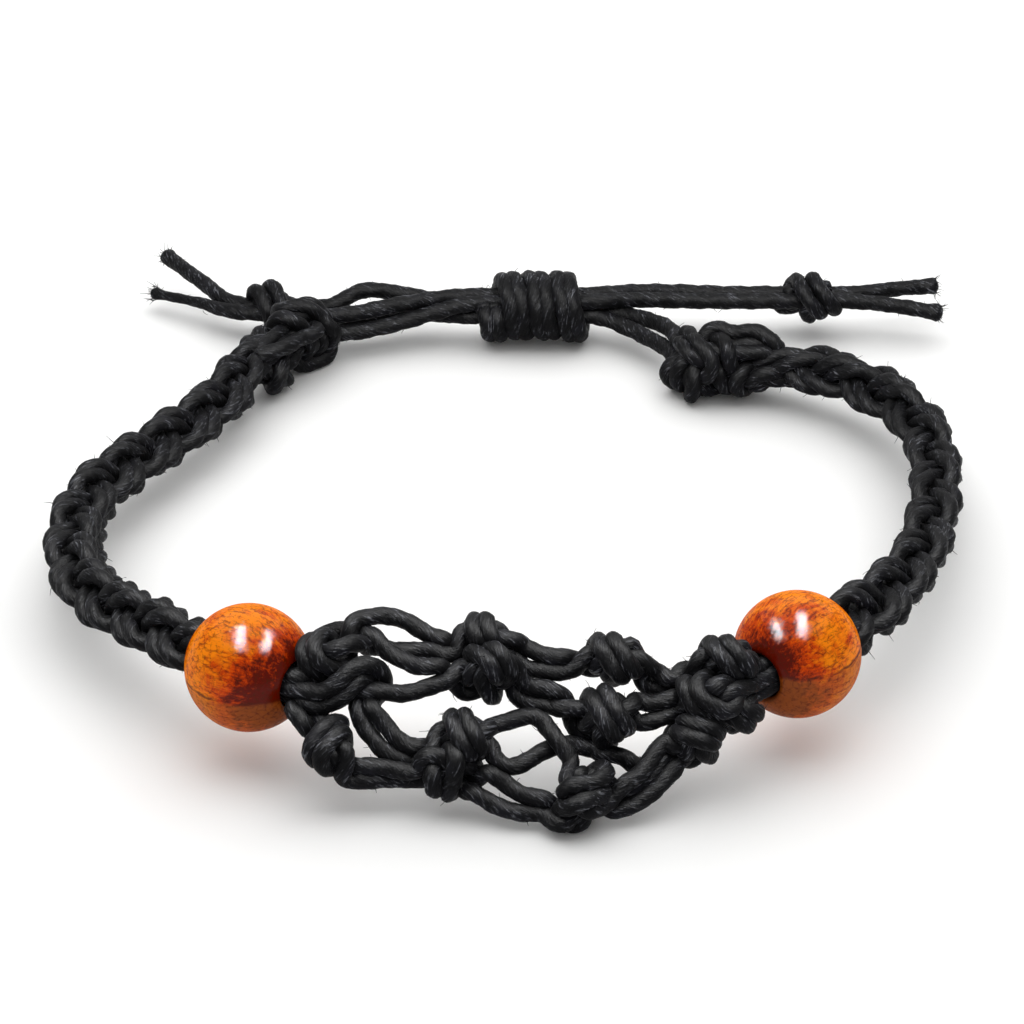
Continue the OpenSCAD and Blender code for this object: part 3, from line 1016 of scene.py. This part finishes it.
@dataclass
class SlidingKnot:
    """Two cords side by side, wound round the four drawcords."""

    middle: Triple = (2.0, 32.4, 3.1)
    turns: float = 3.7
    start: float = 0.38
    length: float = 10.3
    depth: float = 5.8
    height: float = 5.8
    tucked: float = 0.55
    tucked_over: float = 0.04
    ply: Ply = Ply(d=1.42)

    def build(self, cotton: Material) -> None:
        """Winds the pair of cords a little unevenly, its ends tucked in.

        Args:
            cotton: the cord's material.
        """
        f = np.linspace(0, 1, 260)
        angle = 2 * math.pi * (self.turns * f + self.start)
        tuck = np.clip(np.minimum(f, 1 - f) / self.tucked_over, self.tucked, 1)
        skein = Skein(self.ply)
        for half in (-0.5, 0.5):
            swell = tuck * (1 + 0.035 * np.sin(1.7 * angle + half) + 0.03 * np.sin(0.6 * angle))
            beside = half * 0.6 * self.ply.d + 0.1 * np.sin(2.3 * angle)
            x = (f - 0.5) * (self.length - 1.6 * self.ply.d) + beside
            p = np.stack([x, (self.depth - self.ply.d) / 2 * swell * np.cos(angle),
                          (self.height - self.ply.d) / 2 * swell * np.sin(angle)], 1)
            line = np.array(self.middle) + p
            skein.cord(line, phase=2 * half)
            skein.hairs(line, 60, 0.35, seed=int(70 + 2 * half))
        skein.piece("sliding_knot_wraps", cotton, "sliding_knot")


@dataclass
class Bead:
    """A turned wooden bead with a straight hole, its mouth rounded over."""

    side: Side
    # The side that stain and painted shade darken, and the height of the painted reflection line.
    stain_and_shade_side: Triple
    reflection_line_height: float
    seed: float
    hole_d: float = 3.2
    mouth: float = 0.35
    around: int = 112
    rings: int = 72

    def build(self) -> None:
        """Turns the bead on its own axis and puts it on the cords."""
        half_line = HALF_LINES[self.side]
        axis = unit(np.subtract(half_line[2], half_line[0]))
        middle = np.array(half_line[1])
        r, hole = BEAD_D / 2, self.hole_d / 2
        edge = math.asin((hole + self.mouth) / r)
        outer = [(r * math.sin(a), -r * math.cos(a)) for a in np.linspace(edge, math.pi - edge, self.rings)]
        top = outer[-1][1]
        lip = [(hole + self.mouth * (1 - math.sin(a)), top - self.mouth * (1 - math.cos(a)) * 0.9)
               for a in np.linspace(0, math.pi / 2, 8)[1:]]
        bore = [(hole, z) for z in np.linspace(lip[-1][1], -lip[-1][1], 9)[1:-1]]
        profile = outer + lip + bore + [(x, -z) for x, z in reversed(lip)]
        side = unit(np.cross(UP, axis))
        lift = np.cross(axis, side)
        angles = [2 * math.pi * k / self.around for k in range(self.around)]
        verts = [tuple((middle + axis * z + x * (math.cos(a) * side + math.sin(a) * lift)) * MM)
                 for x, z in profile for a in angles]
        m, around = len(profile), self.around
        faces = [(i * around + k, (i + 1) % m * around + k, (i + 1) % m * around + (k + 1) % around,
                  i * around + (k + 1) % around) for i in range(m) for k in range(around)]
        name = f"bead_{self.side.value}"
        mesh = bpy.data.meshes.new(f"{name}_wood")
        mesh.from_pydata(verts, [], faces)
        work = bmesh.new()
        work.from_mesh(mesh)
        bmesh.ops.recalc_face_normals(work, faces=work.faces)
        work.to_mesh(mesh)
        work.free()
        mesh.polygons.foreach_set("use_smooth", [True] * len(mesh.polygons))
        wood = LacqueredWood(f"lacquered_wood_{self.side.value}", tuple(half_line[1]), tuple(axis), self.stain_and_shade_side,
                             self.reflection_line_height, self.seed)
        mesh.materials.append(wood.make())
        declared(linked(f"{name}_wood", mesh), Slot.WOOD, name)


PANEL_FOOT = np.array([0, -30, 4.9])
PANEL_RISE = np.array([0, 0.761, 0.649])
PANEL_OUT = np.array([0, -0.649, 0.761])


def on_panel(points: Sequence[Sequence[float]]) -> Points:
    """Places on the net's sloping panel, from x along it, height up it and distance out of it."""
    p = np.asarray(points, float).reshape(-1, 3)
    return PANEL_FOOT + p[:, :1] * np.array([1.0, 0, 0]) + p[:, 1:2] * PANEL_RISE + p[:, 2:] * PANEL_OUT


@dataclass(frozen=True)
class NetKnot:
    """An overhand knot in the net: its place on the panel, axis, turn about it, and size over tied."""

    at: Triple
    axis: Triple
    roll: float
    scale: Triple


COIL = "coil"


@dataclass
class Net:
    """The open net: eight cords from bead to bead, tied together two by two.

    Knots and routes are given on the panel. A stop on a route is a bare place, or a knot and which of
    its two cords this one is. A fan gives each cord's angle and distance in a bead's hole.
    """

    ply: Ply = Ply(d=1.2)
    step: float = 0.42
    press: float = 0.86
    knot_hold: float = 0.55
    bare_hold: float = 0.5
    knot_reach: float = 1.9
    in_bead_places: tuple[float, ...] = (2.2, 2.8, 3.4, 4.0, 4.6)
    knots: dict[str, NetKnot] = field(default_factory=lambda: {
        "gather_knot_left_low": NetKnot((-12.2, -0.8, 0.2), (0.5, -0.85, 0.1), 20, (0.8, 0.72, 0.85)),
        "net_knot_1": NetKnot((-2.1, 6.4, 0.1), (1, -0.15, 0), 10, (0.58, 0.55, 0.7)),
        "net_knot_2": NetKnot((-1.8, 4.1, 0.6), (1, 0.1, 0), -25, (0.85, 0.76, 0.9)),
        "net_knot_3": NetKnot((-3.4, -0.5, 0.1), (1, 0.0, 0), 0, (0.7, 0.85, 0.8)),
        "net_knot_4": NetKnot((-4.2, -2.6, -0.2), (1, -0.2, 0), 180, (0.8, 0.8, 0.8)),
        "net_knot_5": NetKnot((6.6, 4.9, 0.2), (1, 0.1, 0), 20, (0.84, 0.7, 0.85)),
        "net_knot_6": NetKnot((6.0, 0.8, 0.4), (1, 0.1, 0), 0, (0.8, 1.0, 0.95)),
        "net_knot_7": NetKnot((4.5, -4.7, 0.1), (0.2, 1.0, 0), 30, (1.05, 0.68, 0.85)),
        "gather_knot_right_top": NetKnot((14.1, 4.6, 0.8), (1, 0.2, -0.1), 20, (0.75, 0.62, 0.85)),
        "gather_knot_right_middle": NetKnot((13.0, 2.3, 0.9), (0.8, 0.3, 0.6), 60, (0.85, 0.85, 0.9)),
        "gather_knot_right_low": NetKnot((12.1, -0.6, 0.2), (0.7, 0.7, 0), 0, (0.7, 0.65, 0.7)),
        "gather_knot_right_side": NetKnot((14.4, 1.4, 0.2), (0.8, 0.6, 0), 40, (0.7, 0.65, 0.7))})
    coil_at: Triple = (-12.6, 5.1, 0.5)
    coil_axis: Triple = (0.72, 0.12, 0.68)
    coil_r: float = 1.27
    coil_turns: float = 2.15
    coil_start: float = 200
    coil_pitch: float = 1.12
    left_fan: tuple[tuple[float, float], ...] = (
        (110, 0.95), (0, 0), (60, 0.95), (10, 0.95), (165, 0.85), (215, 0.85), (265, 0.95), (315, 0.95))
    right_fan: tuple[tuple[float, float], ...] = (
        (100, 0.95), (50, 0.95), (150, 0.95), (0, 0), (200, 0.95), (250, 0.95), (300, 0.95), (0, 0.95))
    routes: dict[str, list] = field(default_factory=lambda: {
        "net_run_1": [
            (COIL, 0), [-10.7, 7.2, 0.8], [-9.6, 7.7, 0.6], [-8.4, 7.9, 0.4], [-7.2, 7.6, 0.3],
            [-6.2, 7.0, 0.2], [-5.0, 6.3, 0.2], [-4.1, 5.9, 0.2], ("net_knot_1", 0), [0.2, 5.9, 0.2],
            [1.2, 5.6, 0.2], [2.4, 5.1, 0.2], [3.6, 5.0, 0.2], ("net_knot_5", 0), [9.1, 4.2, 0.2],
            [10.0, 3.8, 0.2], [11.1, 3.4, 0.2], ("gather_knot_right_top", 0)],
        "net_run_2": [
            [-13.3, 4.8, 0.5], [-12.2, 4.9, 2.0], [-11.1, 5.3, 2.2], [-10.1, 5.8, 1.2], [-9.1, 6.0, 0.2],
            [-8.2, 5.7, -0.2], [-7.4, 5.5, 0.1], [-6.5, 5.5, 0.3], [-5.0, 5.6, 0.2], [-3.8, 5.5, 0],
            ("net_knot_1", 1), [0.3, 4.7, -0.1], [1.5, 4.3, -0.1], [2.7, 4.1, -0.1], [3.9, 4.4, -0.2],
            ("net_knot_5", 1), [8.7, 3.4, -0.4], [9.9, 3.1, -0.5], [11.2, 3.2, -0.4],
            ("gather_knot_right_top", 1)],
        "net_run_3": [
            [-13.5, 6.3, -1.2], [-12.1, 7.1, -0.8], [-11.0, 7.1, -0.2], [-9.9, 6.5, 0.4], [-8.8, 5.7, 0.7],
            [-8.0, 5.1, 0.8], [-7.1, 4.6, 0.8], [-6.0, 4.2, 0.8], [-4.7, 4.3, 0.6], ("net_knot_2", 0),
            [0.5, 3.2, 0], [1.7, 3.0, 0], [2.9, 2.7, 0.1], ("net_knot_6", 0), [8.1, 2.1, 0.2],
            [9.3, 1.8, 0.3], [10.5, 2.0, 0.3], [11.4, 2.2, 0.4], ("gather_knot_right_middle", 0)],
        "net_run_4": [
            [-12.5, 2.7, -0.9], [-11.1, 2.5, -0.5], [-10.1, 2.5, 0.2], [-9.0, 2.6, 0.6], [-8.0, 2.5, 0.6],
            [-6.8, 2.5, 0.5], [-5.5, 3.0, 0.4], [-4.3, 3.5, 0.3], ("net_knot_2", 1), [0.5, 2.3, -0.4],
            [1.7, 2.0, -0.5], [2.9, 1.9, -0.4], ("net_knot_6", 1), [8.0, 0.7, -0.1], [9.2, 0.7, 0],
            [10.4, 1.2, 0], [11.4, 1.8, 0], ("gather_knot_right_middle", 1)],
        "net_run_5": [
            [-13.9, 2.6, 0.6], [-12.7, 2.3, 1.2], [-11.6, 2.7, 1.7], [-10.8, 3.5, 1.9], [-9.8, 4.1, 1.6],
            [-8.9, 4.1, 0.9], [-8.4, 3.5, 0.1], [-9.0, 3.0, -0.6], [-9.5, 2.3, 0], [-9.4, 1.5, 0.8],
            [-8.7, 0.7, 0.7], [-7.9, -0.3, 0.5], [-6.9, -1.1, 0.4], [-5.7, -1.4, 0.3], ("net_knot_3", 0),
            [-1.7, 0.2, 0.3], [-0.6, 0.5, 0.3], [0.5, 0.9, 0.3], [1.4, 1.0, 0.3], [2.1, 0.6, 0.4],
            [2.5, -0.1, 0.5], [3.2, -1.0, 0.6], [3.8, -1.8, 0.5], [4.0, -2.6, 0.5], [3.9, -3.5, 0.8],
            [4.1, -4.5, 1.3], [4.6, -5.4, 1.5], [5.3, -5.3, 0.8], [6.1, -4.5, 0.2], [7.3, -3.9, 0.2],
            [8.3, -3.3, 0.2], [9.1, -2.5, 0], [9.9, -1.5, -0.2], [10.6, -0.5, -0.3],
            ("gather_knot_right_low", 1)],
        "net_run_6": [
            [-14.1, 2.0, 0.2], [-12.7, 1.7, 0.6], [-11.6, 1.9, 1.1], [-10.7, 2.7, 1.4], [-9.9, 3.4, 1.1],
            [-9.5, 3.2, 0.3], [-9.7, 2.7, -0.4], [-10.2, 1.9, 0.3], [-10.2, 1.1, 0.4], [-9.7, 0.1, 0.3],
            [-9.0, -0.8, 0.3], [-8.2, -1.7, 0.2], [-7.1, -2.2, 0.1], [-6.1, -2.3, 0], ("net_knot_3", 1),
            [-2.1, -1.0, 0.4], [-1.5, -1.8, 0.4], [-0.7, -2.4, 0.3], [0.1, -2.5, 0.2], [1.0, -2.0, 0.1],
            [1.9, -1.4, -0.1], [2.9, -0.9, -0.4], [3.8, -0.6, -0.8], [4.7, -0.8, -0.9], [5.7, -0.9, -0.7],
            [6.4, -1.1, -0.4], [7.2, -1.5, -0.4], [8.1, -2.1, -0.6], [8.9, -2.4, -0.9], [9.6, -2.0, -1.0],
            [10.4, -1.0, -0.9], [11.2, -0.3, -0.6], ("gather_knot_right_low", 0)],
        "net_run_7": [
            [-14.5, 1.7, 0.3], [-14.0, 0.7, 0.4], [-13.3, 0, 0.3], ("gather_knot_left_low", 0),
            [-11.0, -2.5, 0.2], [-9.9, -2.6, 0.2], [-8.6, -2.6, 0.2], [-7.3, -2.6, 0.1], [-6.1, -2.7, 0],
            ("net_knot_4", 0), [-1.6, -2.7, 0.4], [-0.8, -3.3, 0.3], [0.1, -4.0, 0.2], [1.2, -4.5, 0.2],
            [2.2, -4.7, 0.1], ("net_knot_7", 0), [6.2, -3.7, 0], [7.4, -4.1, 0], [8.6, -3.5, -0.2],
            [9.5, -2.4, -0.3], [10.4, -1.1, -0.4], [11.3, 0, -0.5], [12.5, 0.8, -0.6],
            ("gather_knot_right_side", 0)],
        "net_run_8": [
            [-14.0, 1.3, -0.5], [-13.3, 0.7, -0.6], ("gather_knot_left_low", 1), [-11.2, -3.0, -0.1],
            [-10.0, -3.1, -0.1], [-8.6, -3.0, -0.1], [-7.3, -2.9, -0.2], [-6.1, -3.1, -0.3],
            ("net_knot_4", 1), [-2.8, -3.9, -0.2], [-1.7, -4.6, -0.2], [-0.5, -5.2, -0.2], [0.8, -5.5, -0.2],
            [2.1, -5.3, -0.3], ("net_knot_7", 1), [6.1, -5.0, -0.3], [7.3, -5.1, -0.3], [8.3, -4.4, -0.3],
            [9.3, -3.6, -0.3], [10.2, -2.7, -0.3], [11.1, -1.6, -0.4], [12.2, -0.6, -0.5],
            ("gather_knot_right_side", 1)]})
    stands_for: dict[str, tuple[str, ...]] = field(default_factory=lambda: {
        "net_run_1": ("net_cord_01", "net_knot_1", "net_cord_10", "gather_knot_left_top"),
        "net_run_2": ("net_cord_03", "net_knot_5", "net_cord_12", "gather_knot_right_top"),
        "net_run_3": ("net_cord_02", "net_cord_11", "gather_knot_right_side"),
        "net_run_4": ("net_cord_04", "net_knot_2", "net_cord_09", "net_cord_13",
                      "gather_knot_left_middle"),
        "net_run_5": ("net_cord_05", "net_cord_08", "net_knot_6", "net_cord_14",
                      "gather_knot_right_middle"),
        "net_run_6": ("net_cord_06", "net_knot_3", "net_cord_19", "net_cord_15", "net_cord_17",
                      "net_cord_18"),
        "net_run_7": ("net_cord_07", "net_knot_4", "net_knot_7", "gather_knot_left_low"),
        "net_run_8": ("net_cord_20", "net_cord_16", "gather_knot_right_low")})

    def coil(self) -> Points:
        """The first run's coil beside the left bead.

        Returns:
            Its line.
        """
        axis = unit(self.coil_axis)
        up = unit(np.array([0, 1, 0]) - axis * axis[1])
        f = np.linspace(0, 1, 60)[:, None]
        angle = math.radians(self.coil_start) + 2 * math.pi * self.coil_turns * f
        return on_panel(np.array(self.coil_at) + (f - 0.5) * self.coil_turns * self.coil_pitch * axis
                        + self.coil_r * (np.cos(angle) * up + np.sin(angle) * np.cross(axis, up)))

    def tied_in(self, name: str, strand: int, tied_knot: list[Points]) -> Points:
        """Finds the stretch of a cord inside one of the knots.

        Args:
            name: the knot's name, or COIL.
            strand: which of the knot's two cords it is.
            tied_knot: the knot's two cords, as tied along X.

        Returns:
            The stretch's line.
        """
        if name == COIL:
            return self.coil()
        knot = self.knots[name]
        p = near_middle(tied_knot[strand], self.knot_reach)
        x, y, z = (on_panel([v])[0] - PANEL_FOOT for v in (knot.axis, (0, 1, 0), (0, 0, 1)))
        return turned(p, x, z, knot.roll, on_panel([knot.at])[0], knot.scale)

    def in_bead(self, side: Side, fan: tuple[float, float]) -> Points:
        """Finds where a cord runs straight through a bead's mouth, from inside it to outside.

        Args:
            side: which bead.
            fan: the cord's angle in the hole, from the right and up, and its distance from the middle.

        Returns:
            Five places along the hole.
        """
        line = HALF_LINES[side]
        out = unit(np.subtract(line[0], line[2]))
        front = unit(np.cross(out, UP))
        front = front * np.sign(front @ FACING)
        lift = np.cross(out, front)
        lift = lift * np.sign(lift[2])
        angle = math.radians(fan[0])
        off = fan[1] * (math.sin(angle) * lift - math.cos(angle) * front)
        return np.array([np.add(line[1], out * k + off) for k in self.in_bead_places])

    def build(self, cotton: Material, tied_knot: list[Points]) -> None:
        """Ties the eight cords and lays them against each other and the beads.

        Args:
            cotton: the cord's material.
            tied_knot: an overhand knot's two cords, as tied along X.
        """
        lays = []
        for route, left, right in zip(self.routes.values(), self.left_fan, self.right_fan):
            parts, holds = [self.in_bead(Side.LEFT, left)], [np.ones(len(self.in_bead_places))]
            for stop in route:
                in_knot = isinstance(stop, tuple)
                part = self.tied_in(*stop, tied_knot) if in_knot else on_panel([stop])
                parts.append(part)
                holds.append(np.full(len(part), self.knot_hold if in_knot else self.bare_hold))
            parts.append(self.in_bead(Side.RIGHT, right)[::-1])
            holds.append(holds[0])
            rough = np.concatenate(parts)
            at = lengths(rough)
            line = evenly(smooth(rough, 3), self.step)
            hold = np.interp(np.linspace(0, 1, len(line)), at / at[-1], np.concatenate(holds))
            lays.append(Lay(line, hold))
        beads = [(np.array(line[1]), BEAD_D / 2) for line in HALF_LINES.values()]
        cords = settle(lays, self.ply.d * self.press, 120, pull=0.25, floor=self.ply.d / 2, balls=beads)
        for number, (name, cord) in enumerate(zip(self.routes, cords)):
            skein = Skein(self.ply)
            skein.cord(eased(cord), phase=0.9 * number)
            skein.hairs(cord, 90, 0.4, seed=200 + number)
            skein.piece(name, cotton, *self.stands_for[name])


def main() -> None:
    """Builds the studio and the bracelet, the camera and the free cords first."""
    logging.basicConfig(level=logging.INFO, format="%(message)s")
    cotton = WaxedCotton().make()
    Studio().build()
    pair, band = tied(2, 1.04, 1.6, 1200), tied(6, 1.12, 3.2, 1300)
    small, large = (1.2, 0.86, 0.88), (1.02, 0.74, 0.72)
    tails = (TiedKnot("tail_knot_right", (24.4, 33.65, 3.2), (1, 0, 0), 0, small, 1.9),
             TiedKnot("tail_knot_left", (-19.3, 33.0, 2.4), (-7.1, 1.1, -0.2), 40, small, 1.9))
    Drawcords().build(cotton, [knot.build(cotton, pair) for knot in tails])
    Net().build(cotton, pair)
    Braid(Side.LEFT, (-19.6, 24.5, 3.0), pitches=(8.4, 9.4, 10.4), swings=(1.75, 1.8, 1.8, 1.75, 1.4),
          turn=45, start=0.25).build(cotton)
    Braid(Side.RIGHT, (19.2, 22.9, 3.0), pitches=(9.2, 12.0, 11.0),
          swings=(2.2, 1.65, 1.6, 1.65, 1.6, 1.15), turn=28, start=0.1).build(cotton)
    TiedKnot("end_knot_left", (-18.0, 26.2, 3.1), (0.66, 0.75, 0), 180, large, 4.4).build(cotton, band)
    TiedKnot("end_knot_right", (17.0, 23.4, 3.1), (-0.97, 0.25, 0), 240, large, 4.3).build(cotton, band)
    SlidingKnot().build(cotton)
    # Each bead: the side that stain and painted shade darken, and the height of its painted reflection line.
    Bead(Side.LEFT, stain_and_shade_side=(0.66, -0.7, -0.2), reflection_line_height=0.0, seed=3.0).build()
    Bead(Side.RIGHT, stain_and_shade_side=(-0.5, -0.84, -0.1), reflection_line_height=0.96, seed=11.0).build()


if __name__ == "__main__":
    main()
